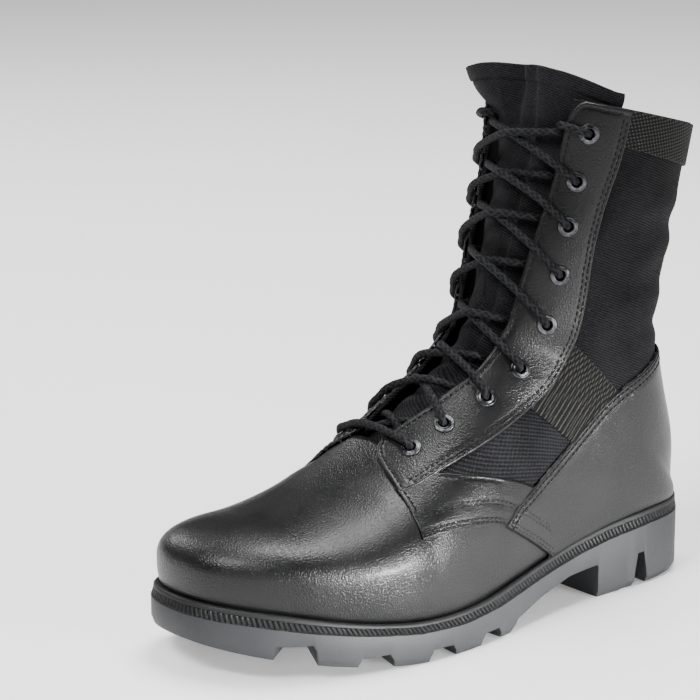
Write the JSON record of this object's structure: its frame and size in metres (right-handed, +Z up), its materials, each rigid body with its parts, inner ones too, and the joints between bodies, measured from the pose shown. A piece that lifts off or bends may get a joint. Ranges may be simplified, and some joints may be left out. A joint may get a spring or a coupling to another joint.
{
  "type": "jungle boot",
  "caption": "Tall hot-weather field boot for the left foot with leather vamp and heel, canvas shaft, webbing straps, laced throat and a deep lugged rubber sole",
  "frame": {"origin": "on the floor plane at the middle of the heel tread, where the boot stands", "axes": "+Z up, toe towards -Y, +X towards the outer (lateral) side of this left boot"},
  "size_m": [0.1158, 0.3066, 0.2681],
  "materials": {
    "smooth_leather": "smooth black leather with a low sheen",
    "canvas": "matt black woven canvas",
    "nylon_webbing": "coarse black woven webbing",
    "sole_rubber": "matt dark grey moulded rubber",
    "insole_board": "dark fabric-faced board",
    "eyelet_metal": "dark plated metal",
    "lace_cord": "black braided cord"
  },
  "bodies": {
    "root": {"upper": "canvas", "tongue": "canvas", "outsole": "sole_rubber", "rand": "sole_rubber", "insole": "insole_board", "eyestay_lateral": "smooth_leather", "eyestay_medial": "smooth_leather", "quarter_band_lateral": "smooth_leather", "quarter_band_medial": "smooth_leather", "heel_counter": "smooth_leather", "ankle_webbing_lateral": "nylon_webbing", "ankle_webbing_medial": "nylon_webbing", "collar_webbing": "nylon_webbing", "eyelet_lateral_1": "eyelet_metal", "eyelet_lateral_2": "eyelet_metal", "eyelet_lateral_3": "eyelet_metal", "eyelet_lateral_4": "eyelet_metal", "eyelet_lateral_5": "eyelet_metal", "eyelet_lateral_6": "eyelet_metal", "eyelet_lateral_7": "eyelet_metal", "eyelet_lateral_8": "eyelet_metal", "eyelet_lateral_9": "eyelet_metal", "eyelet_medial_1": "eyelet_metal", "eyelet_medial_2": "eyelet_metal", "eyelet_medial_3": "eyelet_metal", "eyelet_medial_4": "eyelet_metal", "eyelet_medial_5": "eyelet_metal", "eyelet_medial_6": "eyelet_metal", "eyelet_medial_7": "eyelet_metal", "eyelet_medial_8": "eyelet_metal", "eyelet_medial_9": "eyelet_metal", "lace_crossing_1": "lace_cord", "lace_crossing_2": "lace_cord", "lace_crossing_3": "lace_cord", "lace_crossing_4": "lace_cord", "lace_crossing_5": "lace_cord", "lace_crossing_6": "lace_cord", "lace_crossing_7": "lace_cord", "lace_crossing_8": "lace_cord", "lace_bar": "lace_cord"}
  },
  "joints": []
}
